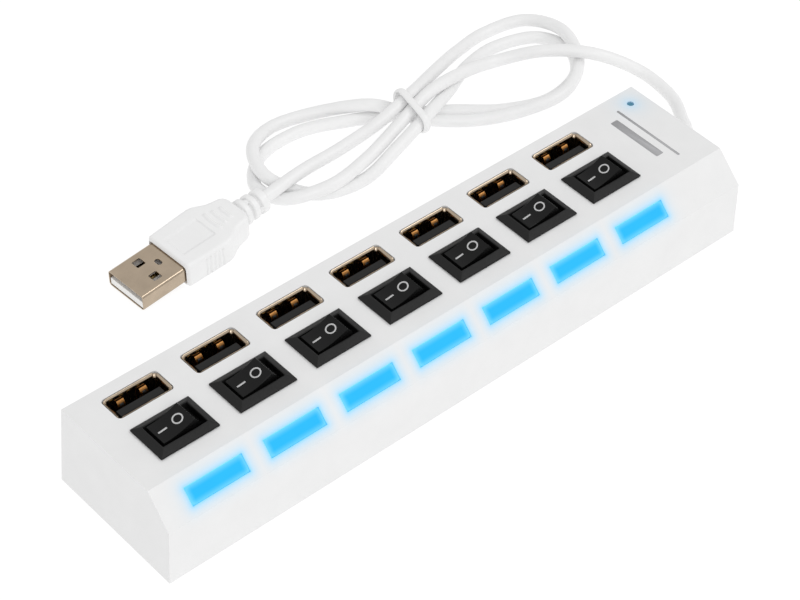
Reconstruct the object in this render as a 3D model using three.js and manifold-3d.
// A seven-port USB hub: a long chamfered housing with one upright port, one rocker switch and
// one lit window in each of its seven bays, a gland at its end, and a tied cord with a USB-A plug.
// Units are millimetres, +Z is up, and the origin is under the middle of the housing.
// X runs along the row of ports towards the cord, and -Y is the front, where the windows are.
import * as THREE from "three";
import { mergeVertices } from "three/addons/utils/BufferGeometryUtils.js";
import Module from "manifold-3d";

const wasm = await Module();
wasm.setup();

// ---------------------------------------------------------------- driving dimensions
const LENGTH = 167; // housing at the table, along X
const WIDTH = 36.5; // housing at the table, along Y
const HEIGHT = 21.5; // from the table to the top face
const END_DRAFT = 0.8; // how far each end leans in over the height
const SIDE_DRAFT = 0.5; // how far the front and back lean in
const CHAMFER_BOTTOM_Z = 14.8; // where the front wall meets the sloping window strip
const CHAMFER_TOP_Y = -10.9; // where the sloping strip meets the top face
const WALL = 1.8;
const RIM_Z = 0.5; // lower edge of the housing, above the table
const FIT_GAP = 0.3; // between pieces that touch
const SNUG_GAP = 0.15; // round a piece that fills its opening
const HOLE_GAP = 0.2; // round a port's mouth or a switch's body, in the top face
const OVERLAP = 0.5; // how far a piece runs into the one it joins
const HOLE_DEPTH = 3; // how far the cutters reach below the top face

const BAY_COUNT = 7;
const BAY_PITCH = 20.3;
const FIRST_BAY_X = -68.2;

const COVER = { bottom: 0.9, thickness: 1.6, lip: 1.2, lipHeight: 2, lipInset: 0.5 };
const COVER_TOP = COVER.bottom + COVER.thickness;
const COVER_POST = { radius: 1.8, xs: [-58, -18, 22, 60], ys: [-9.5, 8.5] };
const FOOT = { radius: 4.5, height: 0.6, x: 70, y: 11 };
const BOARD = { left: -80.3, right: 79.3, halfWidth: 15.6, bottom: 5.2, thickness: 1.6 };
const BOARD_TOP = BOARD.bottom + BOARD.thickness;
const SCREW = { shank: 0.95, head: 2, headHeight: 0.8, headZ: 1, top: 12, recess: 1.1 };
const SCREW_PLACES = [
  [-78.6, 0],
  [72, 4],
];
const BOSS = { radius: 2.6, bottom: 2.8, boardGap: 0.5 };

const PORT_Y = 11.3;
const PORT = { width: 12.5, depth: 5.12, wall: 0.35, flareHeight: 0.8, floor: 0.5 };
const PORT_MOUTH = { width: 13.9, depth: 6.3, rim: 0.3, corner: 0.9 };
const TONGUE = { width: 11.1, thickness: 1.84, recess: 1.2, rearGap: 0.65, baseHeight: 2.5 };

const SWITCH_Y = -1.1;
const BEZEL = { length: 15, width: 10.5, edge: 0.4, rimZ: 22.9, rimLength: 11.9, rimWidth: 7.4 };
const BEZEL_GAP = 0.1; // under the bezel's edge
const SWITCH_WINDOW = { length: 11.3, width: 6.8 };
const SWITCH_BODY = { length: 13.3, width: 8.4, bottom: 12.5, floor: 1, cavityLength: 12.6, lid: 0.6 };
const ROCKER_PIVOT_Z = 19.7;
const ROCKER_TILT = THREE.MathUtils.degToRad(15); // each way from level
const ROCKER = { width: 5.8, edgeX: 4, edgeZ: 4.5, hollow: 0.55 };
const ROCKER_END = [
  [5.3, 1.4],
  [5, -1.55],
]; // the foot of each steep end face and the corner under it, [x, z]
const TRUNNION = { radius: 0.8, reach: 3.9, socket: 1, socketReach: 6 };

const WINDOW = { length: 14.8, height: 4.2, fromTopEdge: 5.25, depth: 2.5, flange: 0.8, margin: 0.7 };
const LED = { y: -13.2, radius: 1.4, collar: 1.8, collarHeight: 0.9, height: 5.9 };
const STATUS = { x: 78, y: 13.4, bodyRadius: 1.2, bodyTop: 17.5, tipRadius: 0.7, tipTop: 21.3 };

const CHIP = { x: 66.5, y: -9, size: 7, height: 1.2 };
const CRYSTAL = { x: 65, y: 11.5, length: 7, width: 3.2, height: 2.4 };

const GLAND = { y: 6, z: 9, end: 86.4, neckRadius: 2.3, collarRadius: 3.1, tipRadius: 2.1 };
const GLAND_FLANGE = { radius: 3.6, thickness: 1.4 };
const CORD = { radius: 1.6, sides: 8, steps: 80 };
// The cord's centreline, from the gland, twice round the tied bundle and on to the plug.
const CORD_ROUTE = [
  [86.9, 6, 9], [90.7, 6.7, 8.6], [95.2, 9.2, 7], [99.9, 14.5, 4.4], [106.4, 24.4, 2.3],
  [106.3, 34.7, 3.5], [97.7, 43.3, 8.1], [89, 52.7, 7.5], [78.9, 59.7, 4.7], [67, 58.8, 7.6],
  [54.4, 56.8, 9.2], [42, 54, 7.1], [29.6, 51.1, 5.4], [16.8, 49.6, 4.9], [7, 55.1, 2.6],
  [5.6, 63.1, 1.7], [13.1, 70.7, 1.7], [25.9, 72.1, 1.7], [38, 67.8, 1.7], [49.4, 61.8, 1.7],
  [60.2, 54.8, 1.8], [70.5, 47.1, 1.7], [82.5, 42.9, 1.7], [94.8, 46, 1.7], [100.3, 54.4, 1.7],
  [97.4, 62.4, 1.7], [86.2, 66.2, 1.9], [73.6, 63.7, 3.1], [62.3, 57.9, 5.1], [50.9, 52.6, 7.5],
  [38.5, 49.6, 5.5], [26, 48.3, 2.4], [14.3, 52.7, 1.7], [7.9, 62, 4.2], [10.5, 70.3, 5.2],
  [21.1, 76.7, 2.6], [33.5, 74.5, 2.3], [43.5, 66, 5.1], [47.1, 61.5, 4.8], [51.2, 56.4, 3.2],
  [60.5, 47.9, 3.1], [72.1, 42.1, 3.8], [84.7, 40.1, 4.8], [95.6, 46.4, 5], [101, 58, 5.2],
  [98.3, 68.5, 3.1], [88.1, 72.2, 1.7], [75.6, 69.6, 3.2], [63.9, 64.5, 6.6], [51.9, 59.7, 8.9],
  [39.3, 57.5, 7.5], [26.9, 57.6, 5.6], [14, 56.6, 6.2], [1.2, 55.4, 5.5],
];
const TIE = { at: [47.6, 55.3, 8.05], heading: 84.3, roll: 10, halfSpan: 6.1, halfHeight: 2.25 };
const TIE_BAND = { thickness: 0.5, width: 1.6 };

const PLUG = { yaw: 3, tilt: 4, x: -27.6, y: 53.9, gripHeight: 7 };
const PLUG_SHELL = { width: 12, height: 4.5, wall: 0.3, reach: 12.5, buried: 5.5 };
const PLUG_CORE = { width: 11.2, height: 1.9, setBack: 0.2 };
const PLUG_CATCH = { size: 2.3, x: -6.1, y: 2.85 }; // the square holes in the shell
const BOOT = { start: 20.5, end: 28.6, startRadius: 3.25, endRadius: 2.9 };

// ---------------------------------------------------------------- finishes
const finish = (color, roughness, metalness = 0) =>
  new THREE.MeshStandardMaterial({ color, roughness, metalness });
const WHITE_PLASTIC = finish(0xe9e9e9, 0.5);
const BLACK_PLASTIC = finish(0x1c1c1d, 0.45);
const BEZEL_PLASTIC = finish(0x2c2c2d, 0.65);
const NICKEL = finish(0xb9ab98, 0.25, 1);
const BOARD_GREEN = finish(0x1f5a36, 0.5);
const LIT_BLUE = finish(0x2abfff, 0.35);
const CORD_WHITE = finish(0xf0f0f0, 0.45);
const CLEAR_EPOXY = finish(0xdfe9ee, 0.2);
const DARK_RUBBER = finish(0x2a2a2a, 0.9);
const STEEL = finish(0x9a9a9a, 0.35, 1);

// ---------------------------------------------------------------- solids
// A closed geometry as a solid that can be joined and cut.
function solid(geometry) {
  const bare = geometry.clone();
  bare.deleteAttribute("normal");
  bare.deleteAttribute("uv");
  const merged = mergeVertices(bare, 1e-4);
  return new wasm.Manifold(
    new wasm.Mesh({
      numProp: 3,
      vertProperties: new Float32Array(merged.attributes.position.array),
      triVerts: new Uint32Array(merged.index.array),
    }),
  );
}

// A solid as a three.js geometry.
function surface(made) {
  const mesh = made.getMesh();
  const geometry = new THREE.BufferGeometry();
  geometry.setAttribute("position", new THREE.BufferAttribute(mesh.vertProperties, 3));
  geometry.setIndex(new THREE.BufferAttribute(mesh.triVerts, 1));
  geometry.computeVertexNormals();
  return geometry;
}

const join = (...solids) => solids.reduce((whole, piece) => whole.add(piece));
const cut = (body, ...holes) => holes.reduce((left, hole) => left.subtract(hole), body);

// A box of a given size that stands on z, centred on x and y.
function block(length, width, height, x = 0, y = 0, z = 0) {
  const geometry = new THREE.BoxGeometry(length, width, height);
  geometry.translate(x, y, z + height / 2);
  return solid(geometry);
}

// A box whose top is another size than its bottom.
function taperedBlock(lower, upper, height, x = 0, y = 0, z = 0) {
  const geometry = new THREE.BoxGeometry(1, 1, height);
  const points = geometry.attributes.position;
  for (let i = 0; i < points.count; i++) {
    const [length, width] = points.getZ(i) > 0 ? upper : lower;
    points.setXY(i, points.getX(i) * length, points.getY(i) * width);
  }
  geometry.translate(x, y, z + height / 2);
  return solid(geometry);
}

// An upright block with rounded corners whose top may be another size than its bottom.
function roundedBlock(lower, height, x, y, z, upper = lower, corner = PORT_MOUTH.corner) {
  const [right, rear] = lower.map((size) => size / 2 - corner);
  const quarter = Math.PI / 2;
  const shape = new THREE.Shape();
  shape.absarc(right, rear, corner, 0, quarter, false);
  shape.absarc(-right, rear, corner, quarter, 2 * quarter, false);
  shape.absarc(-right, -rear, corner, 2 * quarter, 3 * quarter, false);
  shape.absarc(right, -rear, corner, 3 * quarter, 4 * quarter, false);
  const geometry = new THREE.ExtrudeGeometry(shape, {
    depth: height,
    bevelEnabled: false,
    curveSegments: 3,
  });
  const points = geometry.attributes.position;
  for (let i = 0; i < points.count; i++) {
    if (points.getZ(i) > height / 2) {
      const grownX = (points.getX(i) * upper[0]) / lower[0];
      points.setXY(i, grownX, (points.getY(i) * upper[1]) / lower[1]);
    }
  }
  geometry.translate(x, y, z);
  return solid(geometry);
}

// A round post that stands on z.
function post(radius, height, x, y, z, sides = 20, topRadius = radius) {
  const geometry = new THREE.CylinderGeometry(topRadius, radius, height, sides);
  geometry.rotateX(Math.PI / 2);
  geometry.translate(x, y, z + height / 2);
  return solid(geometry);
}

// A solid of revolution about Z from [radius, z] pairs that start and end on the axis.
function turned(profile, sides = 16) {
  const outline = profile.map(([radius, z]) => new THREE.Vector2(radius, z));
  return new THREE.LatheGeometry(outline, sides).rotateX(Math.PI / 2);
}

const meshOf = (name, geometry, material) => {
  const mesh = new THREE.Mesh(geometry, material);
  mesh.name = name;
  return mesh;
};

const hub = new THREE.Group();
const add = (name, made, material) => hub.add(meshOf(name, surface(made), material));

// ---------------------------------------------------------------- housing
// The housing's cross-section as [y, z] corners, counter-clockwise from the lower front.
const SECTION = [
  [-WIDTH / 2, RIM_Z],
  [WIDTH / 2, RIM_Z],
  [WIDTH / 2 - SIDE_DRAFT, HEIGHT],
  [CHAMFER_TOP_Y, HEIGHT],
  [-WIDTH / 2 + SIDE_DRAFT, CHAMFER_BOTTOM_Z],
];

// The same outline moved inwards by a distance.
function insetOutline(corners, distance) {
  const edges = corners.map((start, i) => {
    const end = corners[(i + 1) % corners.length];
    const along = new THREE.Vector2(end[0] - start[0], end[1] - start[1]).normalize();
    const inward = new THREE.Vector2(-along.y, along.x);
    return { along, inward, offset: inward.x * start[0] + inward.y * start[1] + distance };
  });
  return edges.map((edge, i) => {
    const before = edges[(i + edges.length - 1) % edges.length];
    const turn = before.inward.x * edge.inward.y - before.inward.y * edge.inward.x;
    const y = (before.offset * edge.inward.y - edge.offset * before.inward.y) / turn;
    const z = (before.inward.x * edge.offset - edge.inward.x * before.offset) / turn;
    return [y, z];
  });
}

// The housing's outer form, or its inside when it is inset, down to a lower edge.
function housingForm(inset, lowerZ) {
  const corners = insetOutline(SECTION, inset);
  corners[0][1] = lowerZ;
  corners[1][1] = lowerZ;
  const shape = new THREE.Shape(corners.map(([y, z]) => new THREE.Vector2(y, z)));
  const geometry = new THREE.ExtrudeGeometry(shape, { depth: LENGTH, bevelEnabled: false });
  geometry.translate(0, 0, -LENGTH / 2);
  const toRow = new THREE.Matrix4().makeBasis(
    new THREE.Vector3(0, 1, 0),
    new THREE.Vector3(0, 0, 1),
    new THREE.Vector3(1, 0, 0),
  );
  geometry.applyMatrix4(toRow);
  const points = geometry.attributes.position;
  for (let i = 0; i < points.count; i++) {
    const half = LENGTH / 2 - inset - (END_DRAFT * points.getZ(i)) / HEIGHT;
    points.setX(i, Math.sign(points.getX(i)) * half);
  }
  return solid(geometry);
}

const bayX = (bay) => FIRST_BAY_X + bay * BAY_PITCH;
const bays = Array.from({ length: BAY_COUNT }, (_, bay) => bay);

const CHAMFER_ANGLE = Math.atan2(
  HEIGHT - CHAMFER_BOTTOM_Z,
  CHAMFER_TOP_Y + WIDTH / 2 - SIDE_DRAFT,
);
const WINDOW_Y = CHAMFER_TOP_Y - WINDOW.fromTopEdge * Math.cos(CHAMFER_ANGLE);
const WINDOW_Z = HEIGHT - WINDOW.fromTopEdge * Math.sin(CHAMFER_ANGLE);

// A box in the sloping strip's own frame, its top on the strip's face, sunk by a depth.
function stripBlock(length, height, thickness, x, depth) {
  const geometry = new THREE.BoxGeometry(length, height, thickness);
  geometry.translate(0, 0, -depth - thickness / 2);
  geometry.rotateX(CHAMFER_ANGLE);
  geometry.translate(x, WINDOW_Y, WINDOW_Z);
  return solid(geometry);
}

function topShell() {
  const bossHeight = HEIGHT - WALL + OVERLAP - BOSS.bottom;
  const boss = ([x, y]) => post(BOSS.radius, bossHeight, x, y, BOSS.bottom);
  const pilot = ([x, y]) => post(SCREW.shank + SNUG_GAP, SCREW.top + 0.5, x, y, 0, 12);
  const body = join(
    cut(housingForm(0, RIM_Z), housingForm(WALL, RIM_Z - 1)),
    ...SCREW_PLACES.map(boss),
  );
  const holeZ = HEIGHT - HOLE_DEPTH;
  const holeSize = ({ width, depth }) => [width + 2 * HOLE_GAP, depth + 2 * HOLE_GAP];
  const portHole = (x) =>
    roundedBlock(holeSize(PORT_MOUTH), 2 * HOLE_DEPTH, x, PORT_Y, holeZ);
  const switchSize = holeSize({ width: SWITCH_BODY.length, depth: SWITCH_BODY.width });
  const switchHole = (x) => block(...switchSize, 2 * HOLE_DEPTH, x, SWITCH_Y, holeZ);
  const windowHole = (x) => stripBlock(WINDOW.length, WINDOW.height, 2 * WALL, x, -WALL / 2);
  const cordRadius = GLAND.neckRadius + FIT_GAP;
  const cordHole = new THREE.CylinderGeometry(cordRadius, cordRadius, 4 * WALL, 24);
  cordHole.rotateZ(Math.PI / 2).translate(LENGTH / 2 - WALL / 2, GLAND.y, GLAND.z);
  return cut(
    body,
    ...bays.flatMap((bay) => [portHole(bayX(bay)), switchHole(bayX(bay)), windowHole(bayX(bay))]),
    post(STATUS.tipRadius + SNUG_GAP, 2 * HOLE_DEPTH, STATUS.x, STATUS.y, holeZ, 16),
    solid(cordHole),
    ...SCREW_PLACES.map(pilot),
  );
}
add("top_shell", topShell(), WHITE_PLASTIC);

// ---------------------------------------------------------------- base
function bottomCover() {
  const { bottom, thickness, lip, lipHeight, lipInset } = COVER;
  const size = [LENGTH, WIDTH].map((side) => side - 2 * (WALL + FIT_GAP));
  const lipSize = size.map((side) => side - 2 * lipInset);
  const lipInside = lipSize.map((side) => side - 2 * lip);
  const plate = block(...size, thickness, 0, 0, bottom);
  const lipOuter = block(...lipSize, lipHeight + OVERLAP, 0, 0, COVER_TOP - OVERLAP);
  const lipInner = block(...lipInside, 2 * lipHeight, 0, 0, COVER_TOP);
  const postHeight = BOARD.bottom - FIT_GAP - COVER_TOP + OVERLAP;
  const posts = COVER_POST.xs.flatMap((x) =>
    COVER_POST.ys.map((y) => post(COVER_POST.radius, postHeight, x, y, COVER_TOP - OVERLAP, 16)),
  );
  const holes = SCREW_PLACES.flatMap(([x, y]) => [
    post(BOSS.radius + FIT_GAP, HEIGHT, x, y, COVER_TOP, 20),
    post(SCREW.shank + FIT_GAP, HEIGHT, x, y, 0, 12),
    post(SCREW.head + FIT_GAP, SCREW.recess + bottom, x, y, 0, 20),
  ]);
  return cut(join(plate, cut(lipOuter, lipInner), ...posts), ...holes);
}
add("bottom_cover", bottomCover(), WHITE_PLASTIC);

const FOOT_PLACES = [
  [-FOOT.x, -FOOT.y],
  [FOOT.x, -FOOT.y],
  [FOOT.x, FOOT.y],
  [-FOOT.x, FOOT.y],
];
FOOT_PLACES.forEach(([x, y], i) =>
  add(`foot_${i + 1}`, post(FOOT.radius, FOOT.height, x, y, 0, 28), DARK_RUBBER),
);

SCREW_PLACES.forEach(([x, y], i) => {
  const head = post(SCREW.head, SCREW.headHeight, x, y, SCREW.headZ, 20);
  const shank = post(SCREW.shank, SCREW.top - SCREW.headZ - OVERLAP, x, y, SCREW.headZ + OVERLAP, 12);
  add(`screw_${i + 1}`, join(head, shank), STEEL);
});

// ---------------------------------------------------------------- circuit board
function circuitBoard() {
  const length = BOARD.right - BOARD.left;
  const middle = (BOARD.right + BOARD.left) / 2;
  const plate = block(length, 2 * BOARD.halfWidth, BOARD.thickness, middle, 0, BOARD.bottom);
  const reliefs = SCREW_PLACES.map(([x, y]) => post(BOSS.radius + BOSS.boardGap, HEIGHT, x, y, 0, 24));
  return cut(plate, ...reliefs);
}
add("circuit_board", circuitBoard(), BOARD_GREEN);

const ON_BOARD_Z = BOARD_TOP + FIT_GAP;
add(
  "controller_chip",
  block(CHIP.size, CHIP.size, CHIP.height, CHIP.x, CHIP.y, ON_BOARD_Z),
  BLACK_PLASTIC,
);

function crystalCan() {
  const straight = CRYSTAL.length - CRYSTAL.width;
  const end = (side) =>
    post(CRYSTAL.width / 2, CRYSTAL.height, CRYSTAL.x + (side * straight) / 2, CRYSTAL.y, ON_BOARD_Z);
  const middle = block(straight, CRYSTAL.width, CRYSTAL.height, CRYSTAL.x, CRYSTAL.y, ON_BOARD_Z);
  return join(middle, end(-1), end(1));
}
add("crystal", crystalCan(), STEEL);

// ---------------------------------------------------------------- ports
function portShell(x) {
  const tube = [PORT.width + 2 * PORT.wall, PORT.depth + 2 * PORT.wall];
  const mouth = [PORT_MOUTH.width, PORT_MOUTH.depth];
  const mouthInside = mouth.map((size) => size - 2 * PORT_MOUTH.rim);
  const inside = [PORT.width, PORT.depth];
  const flareZ = HEIGHT - PORT.flareHeight;
  const outer = join(
    roundedBlock(tube, flareZ - ON_BOARD_Z, x, PORT_Y, ON_BOARD_Z),
    roundedBlock(tube, PORT.flareHeight, x, PORT_Y, flareZ, mouth),
  );
  const insideCorner = PORT_MOUTH.corner - PORT_MOUTH.rim;
  return cut(
    outer,
    roundedBlock(inside, HEIGHT, x, PORT_Y, ON_BOARD_Z + PORT.floor, inside, insideCorner),
    roundedBlock(inside, PORT.flareHeight, x, PORT_Y, flareZ, mouthInside, insideCorner),
  );
}

function portTongue(x) {
  const baseZ = ON_BOARD_Z + PORT.floor + FIT_GAP;
  const tip = HEIGHT - TONGUE.recess;
  const bladeY = PORT_Y - PORT.depth / 2 + TONGUE.rearGap + TONGUE.thickness / 2;
  const baseSize = [PORT.width, PORT.depth].map((size) => size - 2 * FIT_GAP);
  return join(
    roundedBlock(baseSize, TONGUE.baseHeight, x, PORT_Y, baseZ),
    block(TONGUE.width, TONGUE.thickness, tip - baseZ, x, bladeY, baseZ),
  );
}

// ---------------------------------------------------------------- switches
function switchFrame(x) {
  const seatZ = HEIGHT + BEZEL_GAP;
  const edgeTop = seatZ + BEZEL.edge;
  const outerSize = [BEZEL.length, BEZEL.width];
  const rimSize = [BEZEL.rimLength, BEZEL.rimWidth];
  const cavityTop = BEZEL.rimZ - SWITCH_BODY.lid;
  const solidFrame = join(
    block(BEZEL.length, BEZEL.width, BEZEL.edge, x, SWITCH_Y, seatZ),
    taperedBlock(outerSize, rimSize, BEZEL.rimZ - edgeTop, x, SWITCH_Y, edgeTop),
    block(SWITCH_BODY.length, SWITCH_BODY.width, edgeTop - SWITCH_BODY.bottom, x, SWITCH_Y,
      SWITCH_BODY.bottom),
  );
  const cavityFloor = SWITCH_BODY.bottom + SWITCH_BODY.floor;
  const { socket, socketReach } = TRUNNION;
  const bearing = new THREE.CylinderGeometry(socket, socket, 2 * socketReach, 20);
  bearing.translate(x, SWITCH_Y, ROCKER_PIVOT_Z);
  return cut(
    solidFrame,
    block(SWITCH_BODY.cavityLength, SWITCH_WINDOW.width, cavityTop - cavityFloor, x, SWITCH_Y,
      cavityFloor),
    block(SWITCH_WINDOW.length, SWITCH_WINDOW.width, HOLE_DEPTH, x, SWITCH_Y, cavityTop - OVERLAP),
    solid(bearing),
  );
}

// The rocker about its own pivot, level: a hollow top, steep ends and a trunnion each side.
function rocker() {
  const { edgeX, edgeZ, hollow, width } = ROCKER;
  const outline = new THREE.Shape();
  outline.moveTo(edgeX, edgeZ);
  outline.quadraticCurveTo(0, edgeZ - 2 * hollow, -edgeX, edgeZ);
  ROCKER_END.forEach(([x, z]) => outline.lineTo(-x, z));
  ROCKER_END.toReversed().forEach(([x, z]) => outline.lineTo(x, z));
  const slab = new THREE.ExtrudeGeometry(outline, {
    depth: width,
    bevelEnabled: false,
    curveSegments: 10,
  });
  slab.rotateX(Math.PI / 2).translate(0, width / 2, 0);
  const pin = new THREE.CylinderGeometry(TRUNNION.radius, TRUNNION.radius, 2 * TRUNNION.reach, 20);
  return join(solid(slab), solid(pin));
}

// ---------------------------------------------------------------- lights
function lightWindow(x) {
  const { depth, flange, margin } = WINDOW;
  const length = WINDOW.length - 2 * SNUG_GAP;
  const height = WINDOW.height - 2 * SNUG_GAP;
  return join(
    stripBlock(length, height, depth, x, 0),
    stripBlock(length + 2 * margin, height + 2 * margin, flange, x, WALL + FIT_GAP),
  );
}

function led(x) {
  const { radius, collar, collarHeight, height } = LED;
  const profile = [
    [0, 0],
    [collar, 0],
    [collar, collarHeight],
    [radius, collarHeight],
    [radius, height - radius],
    [radius * 0.72, height - radius * 0.3],
    [0, height],
  ];
  return turned(profile, 14).translate(x, LED.y, ON_BOARD_Z);
}

const rockerGeometry = surface(rocker());
for (const bay of bays) {
  const x = bayX(bay);
  const number = bay + 1;
  add(`port_shell_${number}`, portShell(x), NICKEL);
  add(`port_tongue_${number}`, portTongue(x), BLACK_PLASTIC);
  add(`switch_frame_${number}`, switchFrame(x), BEZEL_PLASTIC);
  add(`light_window_${number}`, lightWindow(x), LIT_BLUE);
  hub.add(meshOf(`led_${number}`, led(x), CLEAR_EPOXY));

  const pivot = new THREE.Group();
  pivot.position.set(x, SWITCH_Y, ROCKER_PIVOT_Z);
  pivot.rotation.y = -ROCKER_TILT;
  pivot.add(meshOf(`switch_rocker_${number}`, rockerGeometry, BLACK_PLASTIC));
  hub.add(pivot);
}

const statusProfile = [
  [0, ON_BOARD_Z],
  [STATUS.bodyRadius, ON_BOARD_Z],
  [STATUS.bodyRadius, STATUS.bodyTop],
  [STATUS.tipRadius, STATUS.bodyTop + 0.6],
  [STATUS.tipRadius, STATUS.tipTop],
  [0, STATUS.tipTop],
];
const statusPipe = turned(statusProfile, 16).translate(STATUS.x, STATUS.y, 0);
hub.add(meshOf("status_led", statusPipe, LIT_BLUE));

// ---------------------------------------------------------------- cord
// The strain relief: a flange inside the end wall, a neck through it and a tapered sleeve outside.
function cordGland() {
  const wallIn = LENGTH / 2 - END_DRAFT - WALL;
  const wallOut = LENGTH / 2 + 0.1;
  const profile = [
    [0, wallIn - GLAND_FLANGE.thickness],
    [GLAND_FLANGE.radius, wallIn - GLAND_FLANGE.thickness],
    [GLAND_FLANGE.radius, wallIn],
    [GLAND.neckRadius, wallIn],
    [GLAND.neckRadius, wallOut],
    [GLAND.collarRadius, wallOut],
    [GLAND.collarRadius, wallOut + 1],
    [GLAND.tipRadius + 0.5, wallOut + 1.4],
    [GLAND.tipRadius, GLAND.end],
    [0, GLAND.end],
  ];
  return turned(profile, 20).rotateY(Math.PI / 2).translate(0, GLAND.y, GLAND.z);
}
hub.add(meshOf("cord_gland", cordGland(), CORD_WHITE));

function circle(radius, sides) {
  const corner = (_, i) => {
    const angle = (2 * Math.PI * (i + 0.5)) / sides;
    return new THREE.Vector2(radius * Math.cos(angle), radius * Math.sin(angle));
  };
  return new THREE.Shape(Array.from({ length: sides }, corner));
}

const route = new THREE.CatmullRomCurve3(CORD_ROUTE.map((point) => new THREE.Vector3(...point)));
route.arcLengthDivisions = 2000;
const cordGeometry = new THREE.ExtrudeGeometry(circle(CORD.radius, CORD.sides), {
  steps: CORD.steps,
  extrudePath: route,
  bevelEnabled: false,
});
hub.add(meshOf("cord", cordGeometry, CORD_WHITE));

// The tie: a flat loop round three strands that lie side by side, set askew across them.
function tieBand() {
  const loop = (span, height) => {
    const shape = new THREE.Shape();
    shape.absarc(span - height, 0, height, -Math.PI / 2, Math.PI / 2, false);
    shape.absarc(height - span, 0, height, Math.PI / 2, (3 * Math.PI) / 2, false);
    return shape;
  };
  const { thickness, width } = TIE_BAND;
  const outline = loop(TIE.halfSpan + thickness, TIE.halfHeight + thickness);
  outline.holes.push(loop(TIE.halfSpan, TIE.halfHeight));
  const band = new THREE.ExtrudeGeometry(outline, {
    depth: width,
    bevelEnabled: false,
    curveSegments: 8,
  });
  return band.translate(0, 0, -width / 2).rotateZ(THREE.MathUtils.degToRad(TIE.roll));
}
const tie = meshOf("cord_tie", tieBand(), CORD_WHITE);
tie.position.set(...TIE.at);
tie.rotation.set(Math.PI / 2, 0, THREE.MathUtils.degToRad(TIE.heading), "ZYX");
hub.add(tie);

// ---------------------------------------------------------------- plug
// The plug lies in its own frame: X from the nose to the cord, Z up through the grip's top.
const plug = new THREE.Group();
plug.position.set(PLUG.x, PLUG.y, PLUG.gripHeight / 2);
plug.rotation.set(
  0,
  -THREE.MathUtils.degToRad(PLUG.tilt),
  THREE.MathUtils.degToRad(PLUG.yaw),
  "ZYX",
);
hub.add(plug);

const GRIP_CHAMFER = 0.7;
// One side of the grip's plan outline, [x, half width]: it swells, then necks in to the boot.
const GRIP_SIDE = [
  [0, 7.05],
  [12.4, 7.6],
  [14.4, 6.9],
  [16.8, 5.5],
  [19.4, 5.1],
  [20.9, 4.4],
  [21.3, 3.4],
];

function plugGrip() {
  const chamfer = GRIP_CHAMFER;
  const far = GRIP_SIDE.map(([x, y]) => new THREE.Vector2(x, y - chamfer));
  far[0].x += chamfer;
  const near = far.map((point) => new THREE.Vector2(point.x, -point.y)).reverse();
  const plan = new THREE.Shape([...near, ...far].reverse());
  const body = new THREE.ExtrudeGeometry(plan, {
    depth: PLUG.gripHeight - 2 * chamfer,
    bevelThickness: chamfer,
    bevelSize: chamfer,
    bevelSegments: 2,
  });
  body.translate(0, 0, -PLUG.gripHeight / 2 + chamfer);
  const boot = new THREE.CylinderGeometry(
    BOOT.endRadius,
    BOOT.startRadius,
    BOOT.end - BOOT.start,
    20,
  );
  boot.rotateZ(-Math.PI / 2).translate((BOOT.start + BOOT.end) / 2, 0, 0);
  const pocketEnd = PLUG_SHELL.buried + FIT_GAP;
  const pocketHeight = PLUG_SHELL.height + 2 * FIT_GAP;
  const pocketWidth = PLUG_SHELL.width + 2 * FIT_GAP;
  const pocket = block(2 * pocketEnd, pocketWidth, pocketHeight, 0, 0, -pocketHeight / 2);
  return cut(join(solid(body), solid(boot)), pocket);
}

function plugShell() {
  const length = PLUG_SHELL.reach + PLUG_SHELL.buried;
  const middle = (PLUG_SHELL.buried - PLUG_SHELL.reach) / 2;
  const inner = PLUG_SHELL.height - 2 * PLUG_SHELL.wall;
  const tube = cut(
    block(length, PLUG_SHELL.width, PLUG_SHELL.height, middle, 0, -PLUG_SHELL.height / 2),
    block(length + 2, PLUG_SHELL.width - 2 * PLUG_SHELL.wall, inner, middle, 0, -inner / 2),
  );
  const { size, x, y } = PLUG_CATCH;
  const depth = 2 * PLUG_SHELL.height;
  const catches = [-1, 1].map((side) => block(size, size, depth, x, side * y, -depth / 2));
  return cut(tube, ...catches);
}

function plugCore() {
  const nose = -PLUG_SHELL.reach + PLUG_CORE.setBack;
  const length = PLUG_SHELL.buried - FIT_GAP - nose;
  const lower = -PLUG_SHELL.height / 2 + PLUG_SHELL.wall + SNUG_GAP;
  return block(length, PLUG_CORE.width, PLUG_CORE.height, nose + length / 2, 0, lower);
}

plug.add(meshOf("plug_grip", surface(plugGrip()), CORD_WHITE));
plug.add(meshOf("plug_shell", surface(plugShell()), NICKEL));
plug.add(meshOf("plug_core", surface(plugCore()), WHITE_PLASTIC));

export default hub;
